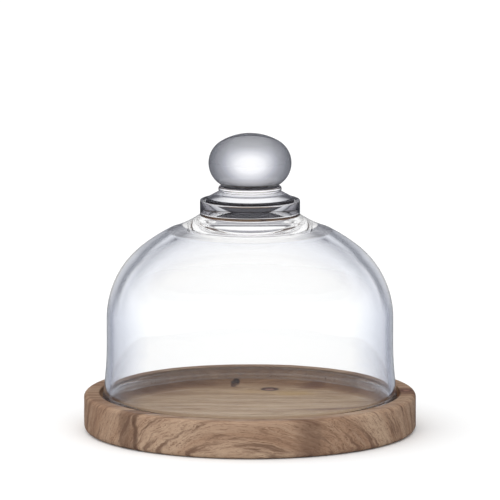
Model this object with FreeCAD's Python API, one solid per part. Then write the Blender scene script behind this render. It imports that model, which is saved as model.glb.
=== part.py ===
import FreeCAD, Part
import math
import os

# Glass display cloche on a turned wooden tray. Millimetres, +Z up.
# The origin is the centre of the tray's underside. Every piece is turned about Z, so each
# one is an outline in the XZ plane (r, z) swept round the axis.

# Wooden tray
TRAY_RADIUS = 80.0
TRAY_HEIGHT = 18.0
TRAY_RIM_WIDTH = 7.5
TRAY_TOP_ROUND = 2.2
TRAY_FOOT_ROUND = 2.6
COVE_RADIUS = 9.0
MOUTH_ROUND = 0.5

# Glass bell: heights are above the bottom of its rim bead
BELL_RADIUS = 68.95
WALL = 2.6
BEAD_RADIUS = 2.3
BEAD_FILLET = 3.0
FLARE_RADIUS = 180.0
FLARE_TOP = 31.0
SHOULDER_START = 42.0
SHOULDER_RADIUS = 43.0
SHOULDER_RISE = 52.1
CEILING_START = 40.0
CEILING_RADIUS = 40.0
CEILING_RISE = 48.0
BOSS_RADIUS = 21.5
BOSS_BOTTOM = 82.4
BOSS_ROUND = 1.4
SKIRT_RADIUS = 39.6
SKIRT_HOLLOW = 0.5

# Knob: heights are above the bottom of the bell's rim bead
COLLAR_RADIUS = 24.0
COLLAR_BOTTOM = 92.0
COLLAR_TOP = 99.2
COLLAR_ROUND = 0.5
GROOVE_RADIUS = 21.9
GROOVE_DEPTH = 0.9
CONE_TOP_RADIUS = 14.7
CONE_TOP = 103.4
RING_RADIUS = 15.2
RING_TOP = 105.7
NECK_RADIUS = 13.7
NECK_TOP = 107.2
BALL_RADIUS = 19.9
BALL_SIDE_RADIUS = 12.0
BALL_HALF_HEIGHT = 14.2
BALL_CENTRE = 117.0

# The bead stands in the cove, with this much air between glass and wood
SEAT_GAP = 0.3

MOUTH_RADIUS = TRAY_RADIUS - TRAY_RIM_WIDTH
FLOOR_RADIUS = MOUTH_RADIUS - COVE_RADIUS
FLOOR_HEIGHT = TRAY_HEIGHT - COVE_RADIUS
BORE_RADIUS = BELL_RADIUS - WALL


def point(r, z):
    return FreeCAD.Vector(r, 0.0, z)


def line(start, end):
    return Part.LineSegment(start, end).toShape()


def arc(centre, radius, start_deg, end_deg):
    """An arc of a circle from one angle to another, by way of the angle halfway between."""
    angles = (start_deg, (start_deg + end_deg) / 2.0, end_deg)
    places = [
        centre + point(radius * math.cos(math.radians(a)), radius * math.sin(math.radians(a)))
        for a in angles
    ]
    return Part.Arc(*places).toShape()


class Vault:
    """Half of an oval arch on the axis: a tight side arc that runs into a flat crown arc."""

    def __init__(self, start, half_width, side_radius, rise):
        self.side_radius = side_radius
        self.side = point(half_width - side_radius, start)
        spread = self.side.x ** 2 + rise ** 2 - side_radius ** 2
        self.crown_radius = spread / (2.0 * (rise - side_radius))
        self.crown = point(0.0, start + rise - self.crown_radius)
        self.join_turn = angle_to(self.crown, self.side)
        self.top = point(0.0, start + rise)

    def side_arc(self, start_deg=0.0):
        return arc(self.side, self.side_radius, start_deg, self.join_turn)

    def turn_at(self, r):
        return math.degrees(math.acos(r / self.crown_radius))

    def at(self, r):
        return point(r, self.crown.z + self.crown_radius * math.sin(math.radians(self.turn_at(r))))

    def crown_arc(self, start_r, end_r):
        return arc(self.crown, self.crown_radius, self.turn_at(start_r), self.turn_at(end_r))

    def join_r(self):
        return self.crown_radius * math.cos(math.radians(self.join_turn))


def touching_centre(centre_a, reach_a, centre_b, reach_b):
    """The point at the given distances from two centres, on the side nearer the axis."""
    across = centre_b - centre_a
    gap = across.Length
    along = (reach_a ** 2 - reach_b ** 2 + gap ** 2) / (2.0 * gap)
    off = math.sqrt(reach_a ** 2 - along ** 2)
    unit = across / gap
    side = point(-unit.z, unit.x)
    return centre_a + unit * along + side * off


def angle_to(start, end):
    return math.degrees(math.atan2(end.z - start.z, end.x - start.x))


def turned(edges):
    """A solid of revolution about Z from the closed outline that the edges make."""
    wire = Part.Wire(Part.__sortEdges__(edges))
    solid = Part.Face(wire).revolve(FreeCAD.Vector(0, 0, 0), FreeCAD.Vector(0, 0, 1), 360.0)
    if solid.ShapeType != "Solid":
        solid = Part.Solid(solid.Shells[0])
    return solid


def bead_centre_radius():
    """The radius of the bead's ring, where the bead runs smoothly into the flared wall."""
    drop = FLARE_TOP - BEAD_RADIUS
    reach = math.sqrt((FLARE_RADIUS + BEAD_RADIUS) ** 2 - drop ** 2)
    return BELL_RADIUS + FLARE_RADIUS - reach


def rim_height():
    """The height of the bead's lowest point when the bead rests in the tray's cove."""
    reach = COVE_RADIUS - BEAD_RADIUS - SEAT_GAP
    across = bead_centre_radius() - FLOOR_RADIUS
    return TRAY_HEIGHT - math.sqrt(reach ** 2 - across ** 2) - BEAD_RADIUS


def wood_tray():
    """A board turned with a shallow recess: flat floor, cove wall, flat rim."""
    top_r = TRAY_RADIUS - TRAY_TOP_ROUND
    foot_r = TRAY_RADIUS - TRAY_FOOT_ROUND
    mouth_turn = math.degrees(math.asin(MOUTH_ROUND / COVE_RADIUS))
    mouth_start = point(
        FLOOR_RADIUS + COVE_RADIUS * math.cos(math.radians(mouth_turn)),
        TRAY_HEIGHT - MOUTH_ROUND,
    )
    mouth_end = point(mouth_start.x + MOUTH_ROUND, TRAY_HEIGHT)
    mouth_centre = point(mouth_start.x + MOUTH_ROUND, TRAY_HEIGHT - MOUTH_ROUND)
    edges = [
        line(point(0, 0), point(foot_r, 0)),
        arc(point(foot_r, TRAY_FOOT_ROUND), TRAY_FOOT_ROUND, -90.0, 0.0),
        line(point(TRAY_RADIUS, TRAY_FOOT_ROUND), point(TRAY_RADIUS, TRAY_HEIGHT - TRAY_TOP_ROUND)),
        arc(point(top_r, TRAY_HEIGHT - TRAY_TOP_ROUND), TRAY_TOP_ROUND, 0.0, 90.0),
        line(point(top_r, TRAY_HEIGHT), mouth_end),
        arc(mouth_centre, MOUTH_ROUND, 90.0, 180.0),
        arc(point(FLOOR_RADIUS, TRAY_HEIGHT), COVE_RADIUS, -mouth_turn, -90.0),
        line(point(FLOOR_RADIUS, FLOOR_HEIGHT), point(0, FLOOR_HEIGHT)),
        line(point(0, FLOOR_HEIGHT), point(0, 0)),
    ]
    return turned(edges)


def bell_outside():
    """The outer wall from the bead's lowest point up to the knob's flat seat on the crown."""
    bead = point(bead_centre_radius(), BEAD_RADIUS)
    flare = point(BELL_RADIUS + FLARE_RADIUS, FLARE_TOP)
    bead_turn = angle_to(bead, flare)
    vault = Vault(SHOULDER_START, BELL_RADIUS, SHOULDER_RADIUS, SHOULDER_RISE)
    foot = vault.at(SKIRT_RADIUS)
    seat = point(COLLAR_RADIUS, COLLAR_BOTTOM)
    hollow = (foot + seat) / 2.0 - point(SKIRT_HOLLOW, SKIRT_HOLLOW)
    return [
        arc(bead, BEAD_RADIUS, -90.0, bead_turn),
        arc(flare, FLARE_RADIUS, 180.0 + bead_turn, 180.0),
        line(point(BELL_RADIUS, FLARE_TOP), point(BELL_RADIUS, SHOULDER_START)),
        vault.side_arc(),
        vault.crown_arc(vault.join_r(), SKIRT_RADIUS),
        Part.Arc(foot, hollow, seat).toShape(),
        line(seat, point(0, COLLAR_BOTTOM)),
    ]


def bell_inside():
    """The inner wall from the bead's lowest point up to the boss in the ceiling."""
    bead = point(bead_centre_radius(), BEAD_RADIUS)
    flare = point(BELL_RADIUS + FLARE_RADIUS, FLARE_TOP)
    bore_flare = FLARE_RADIUS + WALL
    fillet = touching_centre(
        bead, BEAD_RADIUS + BEAD_FILLET, flare, bore_flare + BEAD_FILLET
    )
    into_bead = angle_to(fillet, bead)
    into_wall = angle_to(fillet, flare)
    vault = Vault(CEILING_START, BORE_RADIUS, CEILING_RADIUS, CEILING_RISE)
    ceiling = vault.at(BOSS_RADIUS + BOSS_ROUND)
    boss_top = ceiling.z - BOSS_ROUND
    boss_round_r = BOSS_RADIUS - BOSS_ROUND
    return [
        arc(bead, BEAD_RADIUS, -90.0, into_bead - 180.0),
        arc(fillet, BEAD_FILLET, into_bead, into_wall),
        arc(flare, bore_flare, 180.0 + into_wall, 180.0),
        line(point(BORE_RADIUS, FLARE_TOP), point(BORE_RADIUS, CEILING_START)),
        vault.side_arc(),
        vault.crown_arc(vault.join_r(), ceiling.x),
        Part.Arc(
            ceiling,
            point(BOSS_RADIUS + 0.35 * BOSS_ROUND, ceiling.z - 0.3 * BOSS_ROUND),
            point(BOSS_RADIUS, boss_top),
        ).toShape(),
        line(point(BOSS_RADIUS, boss_top), point(BOSS_RADIUS, BOSS_BOTTOM + BOSS_ROUND)),
        arc(point(boss_round_r, BOSS_BOTTOM + BOSS_ROUND), BOSS_ROUND, 0.0, -90.0),
        line(point(boss_round_r, BOSS_BOTTOM), point(0, BOSS_BOTTOM)),
    ]


def glass_bell():
    """The blown bell: beaded rim, flared wall, thick crown drawn up to the knob's seat."""
    closing = [line(point(0, BOSS_BOTTOM), point(0, COLLAR_BOTTOM))]
    return turned(bell_outside() + bell_inside() + closing)


def knob_collar():
    """Hot glass set on the crown: a disc with an upright edge, a groove, a cone, a ring."""
    round_r = COLLAR_RADIUS - COLLAR_ROUND
    groove = point(GROOVE_RADIUS, COLLAR_TOP - GROOVE_DEPTH)
    lip_r = (COLLAR_RADIUS + GROOVE_RADIUS) / 2.0
    cone_foot = point(GROOVE_RADIUS - GROOVE_DEPTH, COLLAR_TOP + 0.8 * GROOVE_DEPTH)
    ring_middle = (CONE_TOP + RING_TOP) / 2.0
    edges = [
        line(point(0, COLLAR_BOTTOM), point(COLLAR_RADIUS, COLLAR_BOTTOM)),
        line(point(COLLAR_RADIUS, COLLAR_BOTTOM), point(COLLAR_RADIUS, COLLAR_TOP - COLLAR_ROUND)),
        arc(point(round_r, COLLAR_TOP - COLLAR_ROUND), COLLAR_ROUND, 0.0, 90.0),
        line(point(round_r, COLLAR_TOP), point(lip_r, COLLAR_TOP)),
        line(point(lip_r, COLLAR_TOP), groove),
        line(groove, cone_foot),
        line(cone_foot, point(CONE_TOP_RADIUS, CONE_TOP)),
        Part.Arc(
            point(CONE_TOP_RADIUS, CONE_TOP),
            point(RING_RADIUS, ring_middle),
            point(CONE_TOP_RADIUS, RING_TOP),
        ).toShape(),
        line(point(CONE_TOP_RADIUS, RING_TOP), point(0, RING_TOP)),
        line(point(0, RING_TOP), point(0, COLLAR_BOTTOM)),
    ]
    return turned(edges)


def knob_ball():
    """The solid ball, flatter than it is wide, on a short waisted neck."""
    vault = Vault(BALL_CENTRE, BALL_RADIUS, BALL_SIDE_RADIUS, BALL_HALF_HEIGHT)
    foot_turn = -math.degrees(math.asin((BALL_CENTRE - NECK_TOP) / BALL_SIDE_RADIUS))
    foot = point(
        vault.side.x + BALL_SIDE_RADIUS * math.cos(math.radians(foot_turn)),
        NECK_TOP,
    )
    neck_foot = point(NECK_RADIUS + 0.3, RING_TOP)
    waist = point(NECK_RADIUS, (RING_TOP + NECK_TOP) / 2.0)
    edges = [
        line(point(0, RING_TOP), neck_foot),
        Part.Arc(neck_foot, waist, foot).toShape(),
        vault.side_arc(foot_turn),
        vault.crown_arc(vault.join_r(), 0.0),
        line(vault.top, point(0, RING_TOP)),
    ]
    return turned(edges)


def export(name, shape):
    if not shape.isValid():
        raise ValueError(name + " is not a valid solid")
    shape.exportStep("parts/" + name + ".step")
    box = shape.BoundBox
    print(name, "volume %.0f" % shape.Volume, "z %.3f to %.3f" % (box.ZMin, box.ZMax))


def main():
    os.makedirs("parts", exist_ok=True)
    standing = FreeCAD.Vector(0, 0, rim_height())
    export("wood_tray", wood_tray())
    glass = {"glass_bell": glass_bell(), "knob_collar": knob_collar(), "knob_ball": knob_ball()}
    for name, piece in glass.items():
        piece.translate(standing)
        export(name, piece)


main()
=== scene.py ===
import math

import bmesh
import bpy
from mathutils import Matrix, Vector, noise


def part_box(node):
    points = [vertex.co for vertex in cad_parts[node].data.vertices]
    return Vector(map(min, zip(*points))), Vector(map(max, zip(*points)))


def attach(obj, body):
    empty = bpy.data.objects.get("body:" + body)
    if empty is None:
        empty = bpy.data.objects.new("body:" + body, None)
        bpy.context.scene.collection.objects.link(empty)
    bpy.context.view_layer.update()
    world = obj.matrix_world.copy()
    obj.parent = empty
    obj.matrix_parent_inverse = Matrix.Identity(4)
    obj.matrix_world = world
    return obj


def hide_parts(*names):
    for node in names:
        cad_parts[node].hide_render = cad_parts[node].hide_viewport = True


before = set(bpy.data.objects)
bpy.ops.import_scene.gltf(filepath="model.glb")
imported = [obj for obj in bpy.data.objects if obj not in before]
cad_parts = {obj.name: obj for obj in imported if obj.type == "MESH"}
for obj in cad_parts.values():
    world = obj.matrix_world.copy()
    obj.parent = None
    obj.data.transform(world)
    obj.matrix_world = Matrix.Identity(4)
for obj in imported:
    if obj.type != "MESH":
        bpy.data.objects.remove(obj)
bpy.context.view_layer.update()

MM = 0.001
TRAY_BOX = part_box("wood_tray")
BELL_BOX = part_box("glass_bell")

# Tray, in millimetres. Radii and heights of the turned profile.
TRAY_RADIUS = TRAY_BOX[1].x / MM
TRAY_TOP = TRAY_BOX[1].z / MM
TRAY_RIM_WIDTH = 7.5
TRAY_TOP_ROUND = 2.2
TRAY_FOOT_ROUND = 2.6
COVE_RADIUS = 9.0
MOUTH_ROUND = 0.5
MOUTH_RADIUS = TRAY_RADIUS - TRAY_RIM_WIDTH
FLOOR_RADIUS = MOUTH_RADIUS - COVE_RADIUS
FLOOR_HEIGHT = TRAY_TOP - COVE_RADIUS

# Glass, in millimetres. Heights are above the lowest point of the bell's rim bead.
RIM_HEIGHT = BELL_BOX[0].z / MM
BELL_RADIUS = 68.95
WALL = 2.6
BORE_RADIUS = BELL_RADIUS - WALL
BEAD_RADIUS = 2.3
BEAD_FILLET = 3.0
FLARE_RADIUS = 180.0
FLARE_TOP = 31.0
SHOULDER_START = 42.0
SHOULDER_RADIUS = 43.0
SHOULDER_RISE = 52.1
CEILING_START = 40.0
CEILING_RADIUS = 40.0
CEILING_RISE = 48.0
BOSS_RADIUS = 21.5
BOSS_BOTTOM = 82.4
BOSS_ROUND = 1.4
BOSS_HOLLOW = (0.35 * BOSS_ROUND, 0.3 * BOSS_ROUND)
SKIRT_RADIUS = 39.6
SKIRT_HOLLOW = 0.5
COLLAR_RADIUS = 24.0
COLLAR_BOTTOM = 92.0
COLLAR_TOP = 99.2
COLLAR_ROUND = 0.5
GROOVE_RADIUS = 21.9
GROOVE_DEPTH = 0.9
CONE_FOOT_RISE = 0.8 * GROOVE_DEPTH
CONE_TOP_RADIUS = 14.7
CONE_TOP = 103.4
RING_RADIUS = 15.2
RING_TOP = 105.7
NECK_RADIUS = 13.7
NECK_TOP = 107.2
BALL_RADIUS = 19.9
BALL_SIDE_RADIUS = 12.0
BALL_HALF_HEIGHT = 14.2
BALL_CENTRE = 117.0
SEAT_EXTRA = 0.3

# Where painted dark or grey bands of shade stand for thick glass: heights in millimetres, degrees
# up the ball's side, and steps of the outline. The bell's wall thickens between the two heights,
# where its painted shade turns to the shoulder's. WAIST_SPREAD is how much wider the painted dark
# band on the disc's edge is at its two ends than half way up.
EDGE_DARK_FROM = 93.5
NECK_SHADE = 6.0
CONE_STEPS = 8
CONE_DARK_STEPS = 1
SKIRT_STEPS = 16
SKIRT_CLEAR_STEPS = 9
THICKENS = (44.0, 60.0)
WAIST_SPREAD = 0.19

TURN_STEPS = 288
SHARP_ANGLE = math.radians(35.0)

# Marks of the hand, in millimetres
BLOWN_WAVE = 0.16
BLOWN_WAVE_LENGTH = 22.0
WAVES_RISE = (6.0, 18.0)
WAVES_FADE = (78.0, 58.0)
WEAR_DEPTH = 0.18
WEAR_LENGTH = 7.0
WEAR_REACH_OUTSIDE = 3.0
WEAR_REACH_MOUTH = 1.2
KNOT_DEPTH = 0.3
SINK_REACH = 1.3
SINK_BAND = (-0.1, 2.0)

# The board, in millimetres from its centre: knots as (place, radius), then the heartwood
FLOOR_KNOT = ((9.8, 57.5, 9.0), 4.6)
RIM_KNOT = ((75.4, 2.6, 18.0), 3.2)
KNOT_STRETCH = 2.4
HEART_TIP = 15.0
HEART_SPREAD = 0.13
HEART_Y = 0.5
LAYER_TILT = 0.55
THROUGH = 1000.0
# How the grain wanders sideways: name, reach, features per millimetre
WANDERS = (
    ("slow", 14.0, (0.007, 0.018, 0.02)),
    ("waves", 4.0, (0.03, 0.12, 0.12)),
    ("ripples", 0.9, (0.16, 0.5, 0.5)),
)
# Grain at each fineness: name, shift, features per millimetre, detail, roughness
GRAINS = (
    ("bands", 0.0, (0.006, 0.085, 0.01), 3.0, 0.6),
    ("streaks", 0.0, (0.03, 0.42, 0.05), 4.0, 0.65),
    ("fine", 150.0, (0.085, 1.25, 0.4), 4.0, 0.62),
    ("fibres", 0.0, (0.13, 3.0, 1.6), 3.0, 0.6),
    ("pores", 0.0, (0.22, 2.1, 1.8), 1.0, 0.5),
    ("short_pores", 300.0, (0.55, 4.2, 4.0), 1.0, 0.5),
    ("crowd", 0.0, (0.02, 0.12, 0.05), 1.0, 0.5),
)
# Shades of the wood as seen, 0 to 255; a tint multiplies what is under it
BANDS = (
    (0.3, (166, 132, 103)), (0.42, (191, 159, 127)), (0.52, (205, 176, 144)),
    (0.66, (219, 193, 160)),
)
FAR_SIDE = (-60.0, 70.0)
FAR_SIDE_STRENGTH = 0.7
FAR_SIDE_TINT = (0.82, 0.8, 0.78)
# Streaks: grain, where they start and are full, strength, shade
STREAK_SHADES = (
    ("streaks", 0.5, 0.7, 0.6, (143, 109, 82)),
    ("streaks", 0.44, 0.28, 0.4, (222, 198, 166)),
    ("fine", 0.5, 0.68, 0.55, (132, 98, 72)),
    ("fine", 0.46, 0.3, 0.3, (224, 200, 168)),
)
HEART_SHADE = (128, 94, 74)
VEIN_SHADE = (76, 46, 30)
PORE_SHADES = ((112, 78, 54), (120, 86, 60))
FIBRE_SHADE = (120, 90, 66)
KNOT_HALO_SHADE = (120, 84, 58)
# The light line at the floor's edge: partly a turning mark, partly painted sheen
TURNING_LINE_SHEEN = (212, 194, 178)
# A painted dark line of shade along the mouth's edge
MOUTH_EDGE_PAINTED_SHADE = (96, 66, 46)
RIM_STREAK_SHADE = (108, 80, 64)
# The cove's darkening: partly burnished end grain, partly painted shade of the recess
COVE_BURNISH_AND_SHADE = (0.47, 0.33, 0.24)
RIM_TINT = (0.78, 0.73, 0.76)
WOOD_ROUGHNESS = (0.42, 0.6)
WOOD_SPECULAR = 0.35
RELIEF_STRENGTH = 0.35
RELIEF_DEPTH = 0.25 * MM
# Long dark veins: y, from x, to x, thickness, strength
VEINS = (
    (-51.5, -64.0, -2.0, 1.4, 0.9),
    (-60.0, -66.0, -22.0, 1.8, 0.7),
    (33.0, -40.0, 48.0, 0.8, 0.35),
    (-24.0, -62.0, 10.0, 0.8, 0.3),
)
VEIN_FADE_IN = 10.0
VEIN_FADE_OUT = 12.0
VEIN_CORE = 0.2
# Stains, and a dark patch over the upper left of the cove: centre, size, softness, strength, colour
# as seen
STAINS = (
    ((21.0, 46.0), (15.0, 10.0), 0.8, 0.6, (206, 170, 108)),
    ((2.0, 50.0), (16.0, 8.0), 0.8, 0.35, (204, 166, 112)),
    ((-48.0, 48.0), (30.0, 17.0), 0.8, 0.55, (122, 82, 56)),
    ((-22.0, 62.0), (22.0, 8.0), 0.8, 0.45, (128, 92, 64)),
    ((31.0, 60.0), (10.0, 5.0), 0.7, 0.6, (110, 62, 42)),
    ((50.0, 48.0), (16.0, 12.0), 0.8, 0.4, (132, 92, 64)),
    ((-7.0, 68.0), (3.0, 2.4), 0.5, 1.0, (46, 18, 12)),
    ((-8.0, 65.0), (1.6, 3.0), 0.5, 0.9, (58, 26, 18)),
    ((38.0, -57.5), (5.0, 2.0), 0.5, 1.0, (50, 26, 14)),
    ((20.0, -68.0), (5.0, 2.2), 0.5, 0.95, (54, 28, 16)),
    ((69.0, 1.0), (7.0, 7.0), 0.7, 0.85, (66, 40, 32)),
    ((-60.0, -54.0), (16.0, 6.0), 0.8, 0.5, (96, 68, 52)),
    ((58.0, 52.0), (12.0, 12.0), 0.8, 0.45, (104, 78, 62)),
    ((-44.0, 66.0), (16.0, 6.0), 0.8, 0.45, (98, 72, 58)),
    ((30.0, -75.0), (14.0, 5.0), 0.8, 0.45, (104, 76, 60)),
)

# Camera: nearly level, far off with a long lens, as for a product picture, in metres
CAMERA_ELEVATION = math.radians(9.0)
CAMERA_DISTANCE = 3.0
FRAME_WIDTH = 0.24
FRAME_CENTRE = 0.087
SENSOR_WIDTH = 36.0

# Studio. Three solid pieces of glass in line need more bounces than are usual. STUDIO_GAIN is
# how much brighter than its albedo a level surface looks. The backdrop is what is seen through
# the glass, and the room what is mirrored in it, both by the sine of the height looked at.
GLASS_BOUNCES = 24
STUDIO_GAIN = 1.2
BACKDROP_STRENGTH = 1.15
ROOM_FILL = 0.45
WHITE = (1.0, 1.0, 1.0)
BACKDROP_BY_HEIGHT = [
    (0.0, WHITE), (0.3, WHITE), (0.42, (0.2, 0.2, 0.22)), (0.8, (0.42, 0.42, 0.45)),
    (1.0, (0.5, 0.5, 0.53)),
]
ROOM_BY_HEIGHT = [
    (0.0, (0.08, 0.08, 0.095)), (0.35, (0.12, 0.125, 0.14)), (0.8, (0.3, 0.3, 0.32)),
    (1.0, (0.4, 0.4, 0.4)),
]
TABLE_COLOUR = (0.9, 0.9, 0.9)
TABLE_REACH = 60.0
TABLE_DROP = 0.0002
LAMP_ENERGY = 2.5
LAMP_SPREAD = math.radians(120.0)
LAMP_TILT = (math.radians(20.0), math.radians(-15.0), 0.0)

# Tints of the glass, as stops of (how nearly edge-on it is seen, colour). They stand in for the
# dark surroundings that thick glass bends into view.
BELL_WALL_TINT = [
    (0.3, (0.97, 0.985, 1.0)), (0.42, (0.74, 0.78, 0.88)), (0.52, (0.55, 0.59, 0.7)),
    (0.66, (0.4, 0.43, 0.54)), (0.71, (0.2, 0.22, 0.3)), (0.77, (0.19, 0.21, 0.28)),
    (0.85, (0.36, 0.39, 0.46)), (1.0, (0.54, 0.57, 0.64)),
]
BELL_SHOULDER_TINT = [
    (0.3, (0.98, 0.99, 1.0)), (0.45, (0.79, 0.82, 0.91)), (0.55, (0.48, 0.51, 0.6)),
    (0.6, (0.56, 0.59, 0.68)), (0.65, (0.11, 0.12, 0.15)), (0.7, (0.11, 0.12, 0.15)),
    (0.8, (0.55, 0.58, 0.68)), (0.9, WHITE),
]
BELL_CROWN_TINT = [
    (0.54, WHITE), (0.61, (0.6, 0.61, 0.66)), (0.68, (0.17, 0.175, 0.2)),
    (0.8, (0.13, 0.135, 0.16)), (0.86, (0.06, 0.06, 0.075)), (0.92, (0.25, 0.26, 0.29)),
    (1.0, (0.55, 0.56, 0.6)),
]
BOSS_CORNER_TINT = [
    (0.4, (0.9, 0.9, 0.93)), (0.55, (0.3, 0.3, 0.33)), (0.7, (0.01, 0.01, 0.012)),
    (1.0, (0.002, 0.002, 0.003)),
]
BALL_TINT = [
    (0.05, (0.85, 0.86, 0.9)), (0.1, (0.58, 0.59, 0.64)), (0.2, (0.32, 0.33, 0.38)),
    (0.3, (0.21, 0.215, 0.24)), (0.5, (0.13, 0.135, 0.15)), (1.0, (0.05, 0.05, 0.06)),
]
COLLAR_TINT = [
    (0.1, (0.97, 0.97, 1.0)), (0.3, (0.9, 0.91, 0.95)), (0.45, (0.8, 0.81, 0.86)),
    (0.6, (0.3, 0.31, 0.35)), (0.8, (0.08, 0.08, 0.1)), (1.0, (0.03, 0.03, 0.035)),
]
DISC_EDGE_TINT = [
    (0.08, (0.003, 0.003, 0.004)), (0.1, (0.36, 0.37, 0.4)), (0.2, (0.2, 0.21, 0.24)),
    (0.27, (0.003, 0.003, 0.004)), (0.34, (0.09, 0.09, 0.11)), (0.45, (0.05, 0.05, 0.06)),
    (0.6, (0.002, 0.002, 0.003)), (1.0, (0.0005, 0.0005, 0.0006)),
]
# Tints that don't change along a stop list: the painted dark shade in a crease, and glass seen
# head-on (near black on the disc's edge, as painted shade)
CREASE_PAINTED_SHADE = (0.003, 0.003, 0.004)
KNOB_HEAD_ON = (0.98, 0.98, 1.0)
BELL_HEAD_ON = (0.99, 1.0, 1.0)
BOSS_HEAD_ON = (0.95, 0.95, 0.98)
DISC_EDGE_HEAD_ON = (0.008, 0.008, 0.01)

# The glass itself: how it refracts, and the strength of the ripples left by hand work
GLASS_IOR = 1.5
RIPPLE_SCALE = 55.0
BELL_RIPPLE = 0.01
KNOB_RIPPLE = 0.005

# The bell's tint is held back where its surface turns level, from the first slope to the second
CROWN_CALM = 0.14
CROWN_SLOPES = (0.71, 0.9)


# ---------------------------------------------------------------- outlines in the (r, z) plane

def polar(centre, radius, degrees):
    turn = math.radians(degrees)
    return Vector((centre.x + radius * math.cos(turn), centre.y + radius * math.sin(turn)))


def arc(centre, radius, start_deg, end_deg, steps):
    """Points on an arc, both ends included."""
    return [
        polar(centre, radius, start_deg + (end_deg - start_deg) * i / steps)
        for i in range(steps + 1)
    ]


def line(start, end, steps):
    return [Vector(start).lerp(Vector(end), i / steps) for i in range(steps + 1)]


def angle_to(start, end):
    return math.degrees(math.atan2(end.y - start.y, end.x - start.x))


def three_point_arc(start, middle, end, steps):
    """An arc through three points, found from the centre of the circle round them."""
    a, b, c = Vector(start), Vector(middle), Vector(end)
    d = 2.0 * (a.x * (b.y - c.y) + b.x * (c.y - a.y) + c.x * (a.y - b.y))
    x = (a.length_squared * (b.y - c.y) + b.length_squared * (c.y - a.y)
         + c.length_squared * (a.y - b.y)) / d
    y = (a.length_squared * (c.x - b.x) + b.length_squared * (a.x - c.x)
         + c.length_squared * (b.x - a.x)) / d
    centre = Vector((x, y))
    first, mid, last = (angle_to(centre, p) for p in (a, b, c))
    while mid - first > 180.0:
        mid -= 360.0
    while mid - first < -180.0:
        mid += 360.0
    while last - mid > 180.0:
        last -= 360.0
    while last - mid < -180.0:
        last += 360.0
    return arc(centre, (a - centre).length, first, last, steps)


def touching_centre(centre_a, reach_a, centre_b, reach_b):
    """The point at the given distances from two centres, on the upper side."""
    across = centre_b - centre_a
    gap = across.length
    along = (reach_a ** 2 - reach_b ** 2 + gap ** 2) / (2.0 * gap)
    off = math.sqrt(reach_a ** 2 - along ** 2)
    unit = across / gap
    return centre_a + unit * along + Vector((-unit.y, unit.x)) * off


class Vault:
    """Half of an oval arch on the axis: a tight side arc that runs into a flat crown arc."""

    def __init__(self, start, half_width, side_radius, rise):
        self.side_radius = side_radius
        self.side = Vector((half_width - side_radius, start))
        spread = self.side.x ** 2 + rise ** 2 - side_radius ** 2
        self.crown_radius = spread / (2.0 * (rise - side_radius))
        self.crown = Vector((0.0, start + rise - self.crown_radius))
        self.join_turn = angle_to(self.crown, self.side)

    def side_arc(self, steps, start_deg=0.0):
        return arc(self.side, self.side_radius, start_deg, self.join_turn, steps)

    def turn_at(self, r):
        return math.degrees(math.acos(r / self.crown_radius))

    def at(self, r):
        return polar(self.crown, self.crown_radius, self.turn_at(r))

    def crown_arc(self, start_r, end_r, steps):
        return arc(self.crown, self.crown_radius, self.turn_at(start_r), self.turn_at(end_r), steps)

    def join_r(self):
        return self.crown_radius * math.cos(math.radians(self.join_turn))


def bead_and_flare():
    """The centres of the rim bead's section and of the flared wall's arc."""
    drop = FLARE_TOP - BEAD_RADIUS
    reach = math.sqrt((FLARE_RADIUS + BEAD_RADIUS) ** 2 - drop ** 2)
    flare = Vector((BELL_RADIUS + FLARE_RADIUS, FLARE_TOP))
    return Vector((flare.x - reach, BEAD_RADIUS)), flare


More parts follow.
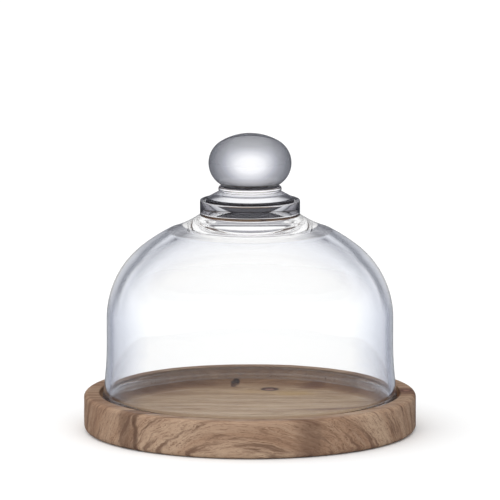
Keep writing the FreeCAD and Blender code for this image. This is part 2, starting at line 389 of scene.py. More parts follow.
def bell_outline():
    """Runs of points from the knob's seat, down the outside and up the inside."""
    bead, flare = bead_and_flare()
    vault = Vault(SHOULDER_START, BELL_RADIUS, SHOULDER_RADIUS, SHOULDER_RISE)
    foot = vault.at(SKIRT_RADIUS)
    seat = Vector((COLLAR_RADIUS, COLLAR_BOTTOM))
    hollow = (foot + seat) / 2.0 - Vector((SKIRT_HOLLOW, SKIRT_HOLLOW))
    bead_turn = angle_to(bead, flare)
    bore_flare = FLARE_RADIUS + WALL
    fillet = touching_centre(bead, BEAD_RADIUS + BEAD_FILLET, flare, bore_flare + BEAD_FILLET)
    into_bead = angle_to(fillet, bead)
    into_wall = angle_to(fillet, flare)
    bore = Vault(CEILING_START, BORE_RADIUS, CEILING_RADIUS, CEILING_RISE)
    ceiling = bore.at(BOSS_RADIUS + BOSS_ROUND)
    boss_top = ceiling.y - BOSS_ROUND
    round_r = BOSS_RADIUS - BOSS_ROUND
    skirt = three_point_arc(seat, hollow, foot, SKIRT_STEPS)
    return [
        ("seam", line((0.0, COLLAR_BOTTOM), seat, 8)),
        ("glass", skirt[:SKIRT_CLEAR_STEPS + 1]),
        ("skirt", skirt[SKIRT_CLEAR_STEPS:]),
        ("outer", vault.crown_arc(SKIRT_RADIUS, vault.join_r(), 8)),
        ("outer", list(reversed(vault.side_arc(36)))),
        ("outer", line((BELL_RADIUS, SHOULDER_START), (BELL_RADIUS, FLARE_TOP), 8)),
        ("outer", arc(flare, FLARE_RADIUS, 180.0, 180.0 + bead_turn, 20)),
        ("outer", arc(bead, BEAD_RADIUS, bead_turn, -90.0, 12)),
        ("glass", arc(bead, BEAD_RADIUS, -90.0, into_bead - 180.0, 14)),
        ("glass", arc(fillet, BEAD_FILLET, into_bead, into_wall, 10)),
        ("glass", arc(flare, bore_flare, 180.0 + into_wall, 180.0, 18)),
        ("glass", line((BORE_RADIUS, FLARE_TOP), (BORE_RADIUS, CEILING_START), 8)),
        ("glass", bore.side_arc(36)),
        ("glass", bore.crown_arc(bore.join_r(), ceiling.x, 12)),
        ("glass", three_point_arc(
            ceiling,
            (BOSS_RADIUS + BOSS_HOLLOW[0], ceiling.y - BOSS_HOLLOW[1]),
            (BOSS_RADIUS, boss_top), 6)),
        ("crease", line((BOSS_RADIUS, boss_top), (BOSS_RADIUS, BOSS_BOTTOM + BOSS_ROUND), 2)),
        ("crease", arc(Vector((round_r, BOSS_BOTTOM + BOSS_ROUND)), BOSS_ROUND, 0.0, -90.0, 8)),
        ("glass", line((round_r, BOSS_BOTTOM), (0.0, BOSS_BOTTOM), 10)),
    ]


def collar_outline():
    """From the seat on the crown, up the collar's edge and in over the cone to the ring."""
    round_r = COLLAR_RADIUS - COLLAR_ROUND
    edge_top = COLLAR_TOP - COLLAR_ROUND
    lip_r = (COLLAR_RADIUS + GROOVE_RADIUS) / 2.0
    groove = (GROOVE_RADIUS, COLLAR_TOP - GROOVE_DEPTH)
    cone_foot = (GROOVE_RADIUS - GROOVE_DEPTH, COLLAR_TOP + CONE_FOOT_RISE)
    cone_top = (CONE_TOP_RADIUS, CONE_TOP)
    ring_side = (RING_RADIUS, (CONE_TOP + RING_TOP) / 2.0)
    ring_top = (CONE_TOP_RADIUS, RING_TOP)
    seat_r = NECK_RADIUS + SEAT_EXTRA
    cone = line(cone_foot, cone_top, CONE_STEPS)
    return [
        ("seam", line((0.0, COLLAR_BOTTOM), (COLLAR_RADIUS, COLLAR_BOTTOM), 8)),
        ("glass", line((COLLAR_RADIUS, COLLAR_BOTTOM), (COLLAR_RADIUS, EDGE_DARK_FROM), 2)),
        ("edge", line((COLLAR_RADIUS, EDGE_DARK_FROM), (COLLAR_RADIUS, edge_top), 5)),
        ("glass", arc(Vector((round_r, edge_top)), COLLAR_ROUND, 0.0, 90.0, 6)),
        ("glass", line((round_r, COLLAR_TOP), (lip_r, COLLAR_TOP), 2)),
        ("crease", line((lip_r, COLLAR_TOP), groove, 3)),
        ("crease", line(groove, cone_foot, 3)),
        ("crease", cone[:CONE_DARK_STEPS + 1]),
        ("glass", cone[CONE_DARK_STEPS:]),
        ("glass", three_point_arc(cone_top, ring_side, ring_top, 8)),
        ("glass", line(ring_top, (seat_r, RING_TOP), 1)),
        ("seam", line((seat_r, RING_TOP), (0.0, RING_TOP), 6)),
    ]


def ball_outline():
    """From the seat on the collar, up the waisted neck and round the ball to its top."""
    vault = Vault(BALL_CENTRE, BALL_RADIUS, BALL_SIDE_RADIUS, BALL_HALF_HEIGHT)
    foot_turn = -math.degrees(math.asin((BALL_CENTRE - NECK_TOP) / BALL_SIDE_RADIUS))
    foot = polar(vault.side, BALL_SIDE_RADIUS, foot_turn)
    neck_foot = (NECK_RADIUS + SEAT_EXTRA, RING_TOP)
    waist = (NECK_RADIUS, (RING_TOP + NECK_TOP) / 2.0)
    dark_turn = foot_turn + NECK_SHADE
    return [
        ("seam", line((0.0, RING_TOP), neck_foot, 6)),
        ("crease", three_point_arc(neck_foot, waist, foot, 8)),
        ("crease", arc(vault.side, BALL_SIDE_RADIUS, foot_turn, dark_turn, 3)),
        ("glass", vault.side_arc(42, dark_turn)),
        ("glass", vault.crown_arc(vault.join_r(), 0.0, 24)),
    ]


def tray_outline():
    """From the middle of the underside, round the edge, over the rim and down to the floor."""
    top_r = TRAY_RADIUS - TRAY_TOP_ROUND
    foot_r = TRAY_RADIUS - TRAY_FOOT_ROUND
    side_top = TRAY_TOP - TRAY_TOP_ROUND
    mouth_turn = math.degrees(math.asin(MOUTH_ROUND / COVE_RADIUS))
    cove = Vector((FLOOR_RADIUS, TRAY_TOP))
    mouth = polar(cove, COVE_RADIUS, -mouth_turn)
    mouth_centre = Vector((mouth.x + MOUTH_ROUND, TRAY_TOP - MOUTH_ROUND))
    return [
        ("wood", line((0.0, 0.0), (foot_r, 0.0), 24)),
        ("wood", arc(Vector((foot_r, TRAY_FOOT_ROUND)), TRAY_FOOT_ROUND, -90.0, 0.0, 8)),
        ("wood", line((TRAY_RADIUS, TRAY_FOOT_ROUND), (TRAY_RADIUS, side_top), 10)),
        ("wood", arc(Vector((top_r, side_top)), TRAY_TOP_ROUND, 0.0, 90.0, 8)),
        ("wood", line((top_r, TRAY_TOP), (mouth_centre.x, TRAY_TOP), 8)),
        ("wood", arc(mouth_centre, MOUTH_ROUND, 90.0, 180.0, 5)),
        ("wood", arc(cove, COVE_RADIUS, -mouth_turn, -90.0, 16)),
        ("wood", line((FLOOR_RADIUS, FLOOR_HEIGHT), (0.0, FLOOR_HEIGHT), 60)),
    ]


# ---------------------------------------------------------------- meshes

def part_way(value, start, end):
    """0 at start and before it, 1 at end and beyond it."""
    return min(1.0, max(0.0, (value - start) / (end - start)))


def hand_blown(r, z, turn):
    """How far the bell's wall stands in from its true circle: soft waves, none at the seams."""
    calm = part_way(z, *WAVES_RISE) * part_way(z, *WAVES_FADE)
    spot = Vector((math.cos(turn) * r, math.sin(turn) * r, z)) / BLOWN_WAVE_LENGTH
    return BLOWN_WAVE * calm * (0.5 + 0.5 * noise.noise(spot))


def hand_worn(r, z, turn):
    """Rounded-over wear on the tray's edges, set in from the turned outline."""
    outside = max(0.0, 1.0 - abs(r - TRAY_RADIUS) / WEAR_REACH_OUTSIDE)
    mouth = max(0.0, 1.0 - abs(r - MOUTH_RADIUS) / WEAR_REACH_MOUTH)
    spot = Vector((math.cos(turn) * r, math.sin(turn) * r, z)) / WEAR_LENGTH
    return WEAR_DEPTH * min(1.0, outside + mouth) * (0.5 + 0.5 * noise.noise(spot))


def sink_knot(mesh):
    """The dried knot in the floor stands a little below the wood round it."""
    (x, y, _), radius = FLOOR_KNOT
    for vertex in mesh.vertices:
        away = math.hypot(vertex.co.x / MM - x, vertex.co.y / MM - y) / (SINK_REACH * radius)
        above = vertex.co.z / MM - FLOOR_HEIGHT
        if away < 1.0 and SINK_BAND[0] < above < SINK_BAND[1]:
            vertex.co.z -= KNOT_DEPTH * MM * (1.0 - away ** 2) ** 2


def lathe(name, runs, lift, materials, inset=None):
    """A closed mesh turned about Z from runs of (slot, points), millimetres to metres."""
    outline = [(runs[0][1][0], None)]
    for slot, points in runs:
        outline += [(p, slot) for p in points[1:]]
    mesh = bpy.data.meshes.new(name)
    built = bmesh.new()
    rings = []
    for place, _ in outline:
        if place.x < 1e-6:
            rings.append([built.verts.new((0.0, 0.0, (place.y + lift) * MM))])
            continue
        ring = []
        for step in range(TURN_STEPS):
            turn = 2.0 * math.pi * step / TURN_STEPS
            r = place.x - (inset(place.x, place.y, turn) if inset else 0.0)
            ring.append(built.verts.new((
                r * MM * math.cos(turn), r * MM * math.sin(turn), (place.y + lift) * MM,
            )))
        rings.append(ring)
    slots = list(materials)
    for (low, high), (_, slot) in zip(zip(rings, rings[1:]), outline[1:]):
        for step in range(TURN_STEPS):
            nxt = (step + 1) % TURN_STEPS
            if len(low) == 1:
                corners = (low[0], high[nxt], high[step])
            elif len(high) == 1:
                corners = (low[step], low[nxt], high[0])
            else:
                corners = (low[step], low[nxt], high[nxt], high[step])
            face = built.faces.new(corners)
            face.material_index = slots.index(slot)
            face.smooth = True
    bmesh.ops.recalc_face_normals(built, faces=built.faces)
    built.to_mesh(mesh)
    built.free()
    mesh.set_sharp_from_angle(angle=SHARP_ANGLE)
    piece = bpy.data.objects.new(name, mesh)
    bpy.context.scene.collection.objects.link(piece)
    for slot in slots:
        mesh.materials.append(materials[slot])
    return piece


# ---------------------------------------------------------------- material helpers

def new_material(name):
    material = bpy.data.materials.new(name)
    material.use_nodes = True
    material.node_tree.nodes.clear()
    return material, material.node_tree


def node(tree, kind, settings=None, **inputs):
    """Adds a node, sets its properties, and links or sets its inputs, by name or as i0, i1."""
    made = tree.nodes.new(kind)
    for key, value in (settings or {}).items():
        setattr(made, key, value)
    for key, value in inputs.items():
        by_number = key[0] == "i" and key[1:].isdigit()
        socket = made.inputs[int(key[1:]) if by_number else key.replace("_", " ")]
        if isinstance(value, bpy.types.NodeSocket):
            tree.links.new(value, socket)
        else:
            socket.default_value = value
    return made


def ramp(tree, value, stops):
    """A colour that runs in straight steps between stops of (place, colour)."""
    made = tree.nodes.new("ShaderNodeValToRGB")
    elements = made.color_ramp.elements
    while len(elements) < len(stops):
        elements.new(0.5)
    for element, (place, colour) in zip(elements, stops):
        element.position = place
        element.color = (*colour, 1.0)
    tree.links.new(value, made.inputs[0])
    return made.outputs[0]


def rgba(colour):
    """A plain colour with its alpha; a socket stays as it is."""
    return colour if isinstance(colour, bpy.types.NodeSocket) else (*colour, 1.0)


def calc(tree, operation, first, second=0.0):
    made = node(tree, "ShaderNodeMath", {"operation": operation}, i0=first, i1=second)
    return made.outputs[0]


def blend(tree, part, first, second, mode="MIX"):
    """Two colours mixed; a plain tuple stands for the same colour everywhere."""
    made = node(
        tree, "ShaderNodeMix", {"data_type": "RGBA", "blend_type": mode},
        i0=part, i6=rgba(first), i7=rgba(second),
    )
    return made.outputs[2]


def fade(tree, value, start, end, low=0.0, high=1.0):
    """From low at start to high at end, with a soft turn at both."""
    made = node(
        tree, "ShaderNodeMapRange", {"interpolation_type": "SMOOTHSTEP"}, Value=value,
        From_Min=start, From_Max=end, To_Min=low, To_Max=high,
    )
    return made.outputs[0]


# ---------------------------------------------------------------- glass

def own_height(tree):
    """The height on the piece itself, in metres."""
    place = node(tree, "ShaderNodeTexCoord").outputs["Object"]
    return node(tree, "ShaderNodeSeparateXYZ", Vector=place).outputs[2]


def from_mid_edge(tree):
    """0 half way up the painted dark part of the disc's edge, 1 at its two ends."""
    middle = (RIM_HEIGHT + (EDGE_DARK_FROM + COLLAR_TOP) / 2.0) * MM
    off = calc(tree, "ABSOLUTE", calc(tree, "SUBTRACT", own_height(tree), middle))
    return calc(tree, "DIVIDE", off, (COLLAR_TOP - EDGE_DARK_FROM) / 2.0 * MM)


def on_shoulder(tree):
    """0 on the bell's upright wall, 1 on its shoulder, where the glass is thicker."""
    start, end = ((RIM_HEIGHT + height) * MM for height in THICKENS)
    return fade(tree, own_height(tree), start, end)


def held_back(tree, facing, crown_calm):
    """Less tint where the surface turns level."""
    normal = node(tree, "ShaderNodeNewGeometry").outputs["Normal"]
    up = node(tree, "ShaderNodeSeparateXYZ", Vector=normal).outputs[2]
    calm = node(
        tree, "ShaderNodeMapRange", Value=calc(tree, "ABSOLUTE", up), From_Min=CROWN_SLOPES[0],
        From_Max=CROWN_SLOPES[1], To_Min=1.0, To_Max=1.0 - crown_calm,
    )
    return calc(tree, "MULTIPLY", facing, calm.outputs[0])


def edge_tint(tree, head_on, edge_stops, crown_calm, waist, shoulder_stops):
    """The glass's painted shade by how nearly edge-on it is seen.

    With waist, the painted shade narrows to a waist half way up the disc's edge.
    """
    facing = node(tree, "ShaderNodeLayerWeight", Blend=0.5).outputs["Facing"]
    if waist:
        facing = calc(tree, "SUBTRACT", facing, calc(tree, "MULTIPLY", from_mid_edge(tree), waist))
    if crown_calm:
        facing = held_back(tree, facing, crown_calm)
    tint = ramp(tree, facing, [(0.0, head_on)] + edge_stops)
    if shoulder_stops:
        thick = ramp(tree, facing, [(0.0, head_on)] + shoulder_stops)
        tint = blend(tree, on_shoulder(tree), tint, thick)
    return tint


def clear_glass(name, head_on, edge_stops, ripple, crown_calm=0.0, waist=0.0, skin=False,
                shoulder_stops=None):
    """Clear glass with painted grey shade towards its edges, with the slight ripples of hand work.

    With skin, the painted grey shade is only on the surface as it is looked at, and leaves the
    light inside the glass clear.
    """
    material, tree = new_material(name)
    path = node(tree, "ShaderNodeLightPath")
    tint = head_on
    if edge_stops:
        tint = edge_tint(tree, head_on, edge_stops, crown_calm, waist, shoulder_stops)
    if skin:
        tint = blend(tree, path.outputs["Is Camera Ray"], WHITE, tint)
    place = node(tree, "ShaderNodeTexCoord").outputs["Object"]
    waves = node(tree, "ShaderNodeTexNoise", Vector=place, Scale=RIPPLE_SCALE, Detail=1.0)
    bump = node(tree, "ShaderNodeBump", Strength=ripple, Distance=MM, Height=waves.outputs[0])
    body = node(
        tree, "ShaderNodeBsdfPrincipled", Base_Color=rgba(tint), Roughness=0.0, IOR=GLASS_IOR,
        Transmission_Weight=1.0, Normal=bump.outputs[0],
    )
    clear = node(tree, "ShaderNodeBsdfTransparent", Color=rgba(head_on))
    mix = node(
        tree, "ShaderNodeMixShader", i0=path.outputs["Is Shadow Ray"],
        i1=body.outputs[0], i2=clear.outputs[0],
    )
    node(tree, "ShaderNodeOutputMaterial", Surface=mix.outputs[0])
    return material


def fused_seam():
    """Where two gathers of glass are fused there is no surface left, so light goes straight on."""
    material, tree = new_material("fused_seam")
    clear = node(tree, "ShaderNodeBsdfTransparent", Color=rgba(WHITE))
    node(tree, "ShaderNodeOutputMaterial", Surface=clear.outputs[0])
    return material


# ---------------------------------------------------------------- wood

def srgb(red, green, blue):
    """An albedo for a colour as the eye sees it under the studio light."""
    def straight(value):
        part = value / 255.0
        return (part / 12.92 if part <= 0.04045 else ((part + 0.055) / 1.055) ** 2.4) / STUDIO_GAIN
    return (straight(red), straight(green), straight(blue))


def grain(tree, along, across, depth, stretch, detail, roughness=0.5):
    """Noise in the board's own directions; stretch is in features per millimetre."""
    place = node(
        tree, "ShaderNodeCombineXYZ",
        X=calc(tree, "MULTIPLY", along, stretch[0]),
        Y=calc(tree, "MULTIPLY", across, stretch[1]),
        Z=calc(tree, "MULTIPLY", depth, stretch[2]),
    )
    made = node(
        tree, "ShaderNodeTexNoise", Vector=place.outputs[0], Scale=1.0, Detail=detail,
        Roughness=roughness,
    )
    return made.outputs[0]


def round_knot(tree, along, across, knot):
    """How far the grain is pushed aside where it flows round a knot."""
    (x, y, _), radius = knot
    off_x = calc(tree, "MULTIPLY", calc(tree, "SUBTRACT", along, x), 1.0 / KNOT_STRETCH)
    off_y = calc(tree, "SUBTRACT", across, y)
    away = calc(
        tree, "ADD", calc(tree, "MULTIPLY", off_x, off_x), calc(tree, "MULTIPLY", off_y, off_y)
    )
    share = calc(tree, "DIVIDE", radius ** 2, calc(tree, "MAXIMUM", away, radius ** 2))
    return calc(tree, "MULTIPLY", off_y, share)


def patch(tree, place, centre, size, softness):
    """1 inside an oval on the board, fading to 0 at its edge."""
    off = node(tree, "ShaderNodeVectorMath", {"operation": "SUBTRACT"}, i0=place, i1=centre)
    part = node(
        tree, "ShaderNodeVectorMath", {"operation": "DIVIDE"}, i0=off.outputs[0], i1=size,
    )
    away = node(tree, "ShaderNodeVectorMath", {"operation": "LENGTH"}, i0=part.outputs[0])
    return fade(tree, away.outputs["Value"], 1.0 - softness, 1.0, 1.0, 0.0)


def roughened(tree, place, scale, reach):
    """The same place, pushed about a little, so that an outline drawn with it is uneven."""
    push = node(tree, "ShaderNodeTexNoise", Vector=place, Scale=scale, Detail=3.0).outputs[1]
    even = node(
        tree, "ShaderNodeVectorMath", {"operation": "SUBTRACT"}, i0=push, i1=(0.5, 0.5, 0.5),
    )
    far = node(
        tree, "ShaderNodeVectorMath", {"operation": "SCALE"}, i0=even.outputs[0], Scale=reach,
    )
    made = node(tree, "ShaderNodeVectorMath", {"operation": "ADD"}, i0=place, i1=far.outputs[0])
    return made.outputs[0]


def board_fields(tree):
    """Everything about the board that varies from place to place, by name."""
    place = node(tree, "ShaderNodeTexCoord").outputs["Object"]
    board = node(tree, "ShaderNodeVectorMath", {"operation": "SCALE"}, i0=place, Scale=1.0 / MM)
    axes = node(tree, "ShaderNodeSeparateXYZ", Vector=board.outputs[0])
    x, y, z = axes.outputs
    field = {"board": board.outputs[0], "x": x, "y": y, "z": z}
    field["off_axis"] = calc(tree, "SQRT", calc(
        tree, "ADD", calc(tree, "MULTIPLY", x, x), calc(tree, "MULTIPLY", y, y),
    ))
    across = y
    for name, reach, stretch in WANDERS:
        field[name] = grain(tree, x, y, z, stretch, 2.0)
        off = calc(tree, "MULTIPLY", calc(tree, "SUBTRACT", field[name], 0.5), reach)
        across = calc(tree, "ADD", across, off)
    for knot in (FLOOR_KNOT, RIM_KNOT):
        across = calc(tree, "SUBTRACT", across, round_knot(tree, x, y, knot))
    layer = calc(tree, "ADD", across, calc(tree, "MULTIPLY", z, LAYER_TILT))
    field["across"] = across
    for name, shift, stretch, detail, roughness in GRAINS:
        along = calc(tree, "ADD", x, shift) if shift else x
        field[name] = grain(tree, along, layer, z, stretch, detail, roughness)
    return field


def plain_board(tree, field):
    """Broad bands, with dark and light streaks over them."""
    colour = ramp(tree, field["bands"], [(place, srgb(*shade)) for place, shade in BANDS])
    darker = fade(tree, field["y"], *FAR_SIDE, 0.0, FAR_SIDE_STRENGTH)
    colour = blend(tree, darker, colour, FAR_SIDE_TINT, "MULTIPLY")
    for name, start, end, strength, shade in STREAK_SHADES:
        streak = fade(tree, field[name], start, end, 0.0, strength)
        colour = blend(tree, streak, colour, srgb(*shade))
    return colour


def with_stains(tree, colour, spread):
    for centre, size, softness, strength, shade in STAINS:
        spot = patch(tree, spread, (*centre, 0.0), (*size, THROUGH), softness)
        colour = blend(tree, calc(tree, "MULTIPLY", spot, strength), colour, srgb(*shade))
    return colour


def with_heartwood(tree, field, colour):
    """Heartwood that runs in from the knot on the rim and narrows towards the middle."""
    width = calc(tree, "MULTIPLY", calc(tree, "SUBTRACT", field["x"], HEART_TIP), HEART_SPREAD)
    off_heart = calc(tree, "ABSOLUTE", calc(tree, "SUBTRACT", field["across"], HEART_Y))
    inside = calc(tree, "DIVIDE", off_heart, calc(tree, "MAXIMUM", width, 0.01))
    streaky = fade(tree, field["fine"], 0.36, 0.56, 0.3, 0.95)
    heart = calc(tree, "MULTIPLY", fade(tree, inside, 1.2, 0.5), streaky)
    return blend(tree, heart, colour, srgb(*HEART_SHADE))


def with_veins(tree, field, colour):
    for y_place, x_from, x_to, thickness, strength in VEINS:
        gap = calc(tree, "ABSOLUTE", calc(tree, "SUBTRACT", field["across"], y_place))
        line_part = fade(tree, gap, thickness, VEIN_CORE * thickness)
        ends = calc(
            tree, "MULTIPLY", fade(tree, field["x"], x_from, x_from + VEIN_FADE_IN),
            fade(tree, field["x"], x_to, x_to - VEIN_FADE_OUT),
        )
        vein = calc(tree, "MULTIPLY", calc(tree, "MULTIPLY", line_part, ends), strength)
        colour = blend(tree, vein, colour, srgb(*VEIN_SHADE))
    return colour


def pore_masks(tree, field):
    """Long pores where they crowd together, and short ones everywhere."""
    crowded = fade(tree, field["crowd"], 0.3, 0.6, 0.25, 0.75)
    long_ones = calc(tree, "MULTIPLY", fade(tree, field["pores"], 0.6, 0.7), crowded)
    short_ones = calc(tree, "MULTIPLY", fade(tree, field["short_pores"], 0.63, 0.72), 0.5)
    return long_ones, short_ones


def with_pores(tree, field, colour, pores):
    for mask, shade in zip(pores, PORE_SHADES):
        colour = blend(tree, mask, colour, srgb(*shade))
    fibrous = fade(tree, field["fibres"], 0.3, 0.7, 0.0, 0.16)
    return blend(tree, fibrous, colour, srgb(*FIBRE_SHADE))


def with_knots(tree, colour, near, spread):
    """Each knot is a dark ring round a pinkish heart, in a brown halo."""
    for (centre, radius), ring_shade, heart_shade in (
        (FLOOR_KNOT, (58, 28, 24), (142, 104, 94)), (RIM_KNOT, (104, 68, 54), (182, 140, 122)),
    ):
        ring = patch(tree, near, centre, [radius * part for part in (1.1, 1.2, 2.2)], 0.25)
        middle = patch(tree, near, centre, [radius * part for part in (0.6, 0.66, 1.6)], 0.4)
        halo = patch(tree, spread, centre, [radius * part for part in (2.4, 1.7, 3.0)], 0.9)
        colour = blend(tree, calc(tree, "MULTIPLY", halo, 0.45), colour, srgb(*KNOT_HALO_SHADE))
        colour = blend(tree, ring, colour, srgb(*ring_shade))
        colour = blend(tree, middle, colour, srgb(*heart_shade))
    return colour


def with_lathe_work(tree, field, colour):
    """Darkened cove, partly burnished end grain and partly painted shade, more towards +y; a light
    line at the floor's edge, partly a turning mark and partly painted sheen; a painted shade line
    at the mouth; a dry rim.
    """
    off_axis = field["off_axis"]
    # The cove is darkened, partly as burnished end grain and partly as painted shade of the recess,
    # more towards +y.
    cove = calc(
        tree, "MULTIPLY", fade(tree, off_axis, FLOOR_RADIUS + 0.5, FLOOR_RADIUS + 5.0),
        fade(tree, off_axis, MOUTH_RADIUS + 0.3, MOUTH_RADIUS - 0.3),
    )
    burnish_and_shade = calc(tree, "MULTIPLY", cove, fade(tree, field["y"], -50.0, 40.0, 0.6, 0.9))
    colour = blend(tree, burnish_and_shade, colour, COVE_BURNISH_AND_SHADE, "MULTIPLY")
    # A light line at the floor's edge, in patches: partly a turning mark, partly painted sheen.
    line_near = calc(tree, "ABSOLUTE", calc(tree, "SUBTRACT", off_axis, FLOOR_RADIUS + 0.3))
    patchy = fade(tree, field["waves"], 0.4, 0.65, 0.05, 0.4)
    sheen = calc(tree, "MULTIPLY", fade(tree, line_near, 1.2, 0.1), patchy)
    colour = blend(tree, sheen, colour, srgb(*TURNING_LINE_SHEEN))
    # A painted dark line of shade along the mouth's edge.
    mouth_near = calc(tree, "ABSOLUTE", calc(tree, "SUBTRACT", off_axis, MOUTH_RADIUS))
    colour = blend(tree, fade(tree, mouth_near, 0.6, 0.1, 0.0, 0.5), colour, srgb(*MOUTH_EDGE_PAINTED_SHADE))
    rim = fade(tree, off_axis, MOUTH_RADIUS, MOUTH_RADIUS + 0.6)
    colour = blend(tree, rim, colour, RIM_TINT, "MULTIPLY")
    rim_streaks = calc(tree, "MULTIPLY", rim, fade(tree, field["streaks"], 0.48, 0.64, 0.0, 0.55))
    return blend(tree, rim_streaks, colour, srgb(*RIM_STREAK_SHADE))


def wood_relief(tree, field, pores):
    """Raised fibres, open pores and the fine rings left by turning."""
    long_ones, short_ones = pores
    outward = calc(tree, "ADD", field["off_axis"], calc(tree, "MULTIPLY", field["z"], 0.7))
    turning = node(
        tree, "ShaderNodeTexNoise", {"noise_dimensions": "1D"}, W=outward, Scale=2.2, Detail=2.0,
    )
    height = calc(tree, "SUBTRACT", calc(tree, "MULTIPLY", field["fibres"], 0.5), long_ones)
    height = calc(tree, "SUBTRACT", height, short_ones)
    height = calc(tree, "ADD", height, calc(tree, "MULTIPLY", turning.outputs[0], 0.35))
    return node(
        tree, "ShaderNodeBump", Strength=RELIEF_STRENGTH, Distance=RELIEF_DEPTH, Height=height,
    ).outputs[0]


def turned_wood():
    """One flat-sawn board, grain along X, with knots, veins, pores and a lathe's finish."""
    material, tree = new_material("turned_wood")
    field = board_fields(tree)
    spread = roughened(tree, field["board"], 0.3, 5.0)
    near = roughened(tree, field["board"], 0.5, 1.3)
    pores = pore_masks(tree, field)
    colour = plain_board(tree, field)
    colour = with_stains(tree, colour, spread)
    colour = with_heartwood(tree, field, colour)
    colour = with_veins(tree, field, colour)
    colour = with_pores(tree, field, colour, pores)
    colour = with_knots(tree, colour, near, spread)
    colour = with_lathe_work(tree, field, colour)
    body = node(
        tree, "ShaderNodeBsdfPrincipled", Base_Color=colour, Normal=wood_relief(tree, field, pores),
        Roughness=fade(tree, field["streaks"], 0.3, 0.7, *WOOD_ROUGHNESS),
        Specular_IOR_Level=WOOD_SPECULAR,
    )
    node(tree, "ShaderNodeOutputMaterial", Surface=body.outputs[0])
    return material


# ---------------------------------------------------------------- stage

def mirrored_ray(tree):
    """1 for a ray that last bounced off a glossy surface, as in a reflection on the glass."""
    path = node(tree, "ShaderNodeLightPath")
    return calc(
        tree, "MAXIMUM", 0.0,
        calc(tree, "SUBTRACT", path.outputs["Is Reflection Ray"], path.outputs["Is Diffuse Ray"]),
    )


def pale_floor():
    """A plain white table; reflections on the glass find it as dark as the room round it."""
    mesh = bpy.data.meshes.new("floor")
    corners = [(x * TABLE_REACH, y * TABLE_REACH, -TABLE_DROP)
               for x, y in ((-1, -1), (1, -1), (1, 1), (-1, 1))]
    mesh.from_pydata(corners, [], [(0, 1, 2, 3)])
    floor = bpy.data.objects.new("floor", mesh)
    bpy.context.scene.collection.objects.link(floor)
    material, tree = new_material("pale_floor")
    body = node(
        tree, "ShaderNodeBsdfPrincipled", Base_Color=rgba(TABLE_COLOUR), Roughness=0.9,
        Specular_IOR_Level=0.0,
    )
    dark = node(tree, "ShaderNodeEmission", Color=rgba(ROOM_BY_HEIGHT[0][1]), Strength=1.0)
    mix = node(
        tree, "ShaderNodeMixShader", i0=mirrored_ray(tree), i1=body.outputs[0], i2=dark.outputs[0],
    )
    node(tree, "ShaderNodeOutputMaterial", Surface=mix.outputs[0])
    mesh.materials.append(material)
    return floor


def studio_world():
    """A bright backdrop seen through the glass, in a room that is dark where it is mirrored."""
    world = bpy.data.worlds.new("studio")
    world.use_nodes = True
    tree = world.node_tree
    tree.nodes.clear()
    direction = node(tree, "ShaderNodeTexCoord").outputs["Generated"]
    height = node(tree, "ShaderNodeSeparateXYZ", Vector=direction).outputs[2]
    backdrop = ramp(tree, height, BACKDROP_BY_HEIGHT)
    room = ramp(tree, height, ROOM_BY_HEIGHT)
    path = node(tree, "ShaderNodeLightPath")
    fill = (ROOM_FILL, ROOM_FILL, ROOM_FILL)
    seen = blend(tree, path.outputs["Is Transmission Ray"], room, backdrop)
    seen = blend(tree, calc(tree, "MINIMUM", path.outputs["Diffuse Depth"], 1.0), seen, fill)
    seen = blend(tree, path.outputs["Is Camera Ray"], seen, WHITE)
    back = node(tree, "ShaderNodeBackground", Color=seen, Strength=BACKDROP_STRENGTH)
    node(tree, "ShaderNodeOutputWorld", Surface=back.outputs[0])
    bpy.context.scene.world = world


def sky_light():
    """One very soft light from above for the floor and the wood, not seen in the glass."""
    light = bpy.data.lights.new("soft_top", "SUN")
    light.energy = LAMP_ENERGY
    light.angle = LAMP_SPREAD
    lamp = bpy.data.objects.new("soft_top", light)
    lamp.rotation_euler = LAMP_TILT
    lamp.visible_glossy = False
    lamp.visible_transmission = False
    bpy.context.scene.collection.objects.link(lamp)


def product_camera():
    camera = bpy.data.cameras.new("camera")
    camera.sensor_width = SENSOR_WIDTH
    camera.lens = SENSOR_WIDTH * CAMERA_DISTANCE / FRAME_WIDTH
    camera.clip_start = 0.01
    camera.clip_end = 200.0
    aim = Vector((0.0, 0.0, FRAME_CENTRE))
    back = Vector((0.0, -math.cos(CAMERA_ELEVATION), math.sin(CAMERA_ELEVATION)))
    holder = bpy.data.objects.new("camera", camera)
    holder.location = aim + back * CAMERA_DISTANCE
    holder.rotation_euler = (math.pi / 2.0 - CAMERA_ELEVATION, 0.0, 0.0)
    bpy.context.scene.collection.objects.link(holder)
    bpy.context.scene.camera = holder


def allow_deep_glass():
    cycles = bpy.context.scene.cycles
    cycles.max_bounces = GLASS_BOUNCES
    cycles.transmission_bounces = GLASS_BOUNCES
    cycles.glossy_bounces = GLASS_BOUNCES


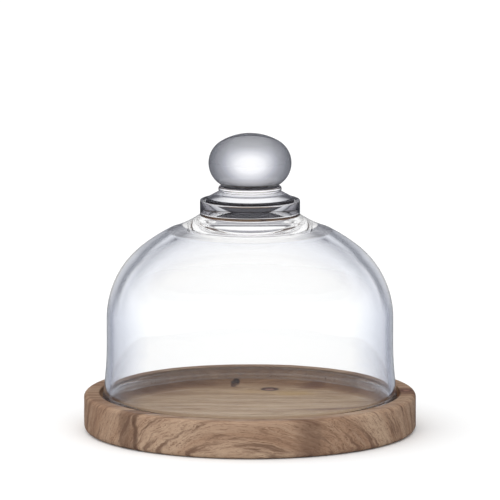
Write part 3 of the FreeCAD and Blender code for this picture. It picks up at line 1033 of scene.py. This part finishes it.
def glass_bell(seam):
    outside = clear_glass(
        "bell_outside", BELL_HEAD_ON, BELL_WALL_TINT, BELL_RIPPLE, CROWN_CALM,
        shoulder_stops=BELL_SHOULDER_TINT)
    inside = clear_glass("bell_inside", WHITE, [], BELL_RIPPLE)
    crown = clear_glass("skirt_glass", WHITE, BELL_CROWN_TINT, BELL_RIPPLE)
    # The boss's corner runs to near black: painted shade.
    corner = clear_glass("boss_crease_painted_shade", BOSS_HEAD_ON, BOSS_CORNER_TINT, 0.0)
    return lathe("bell_visual", bell_outline(), RIM_HEIGHT, {
        "outer": outside, "skirt": crown, "glass": inside, "crease": corner, "seam": seam,
    }, hand_blown)


def glass_collar(seam, crease):
    body = clear_glass("collar_glass", KNOB_HEAD_ON, COLLAR_TINT, KNOB_RIPPLE)
    # The disc's edge is painted with a dark hourglass for camera rays only: painted shade.
    edge = clear_glass(
        "collar_edge_painted_shade", DISC_EDGE_HEAD_ON, DISC_EDGE_TINT, KNOB_RIPPLE, waist=WAIST_SPREAD,
        skin=True)
    return lathe("collar_visual", collar_outline(), RIM_HEIGHT, {
        "glass": body, "edge": edge, "crease": crease, "seam": seam,
    })


def glass_ball(seam, crease):
    body = clear_glass("knob_glass", KNOB_HEAD_ON, BALL_TINT, KNOB_RIPPLE)
    return lathe("ball_visual", ball_outline(), RIM_HEIGHT, {
        "glass": body, "crease": crease, "seam": seam,
    })


def wooden_tray():
    tray = lathe("tray_visual", tray_outline(), 0.0, {"wood": turned_wood()}, hand_worn)
    sink_knot(tray.data)
    return tray


def build():
    bpy.context.scene.view_settings.view_transform = "Standard"
    allow_deep_glass()
    product_camera()
    pale_floor()
    studio_world()
    sky_light()
    seam = fused_seam()
    # The knob's creases are painted near black for camera rays only: painted shade.
    crease = clear_glass("glass_crease_painted_shade", CREASE_PAINTED_SHADE, [], 0.0, skin=True)
    for piece, body, cad_node, slot in (
        (glass_bell(seam), "bell", "glass_bell", "bell_glass"),
        (glass_collar(seam, crease), "bell", "knob_collar", "knob_glass"),
        (glass_ball(seam, crease), "bell", "knob_ball", "knob_glass"),
        (wooden_tray(), "tray", "wood_tray", "turned_wood"),
    ):
        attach(piece, body)
        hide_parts(cad_node)


build()
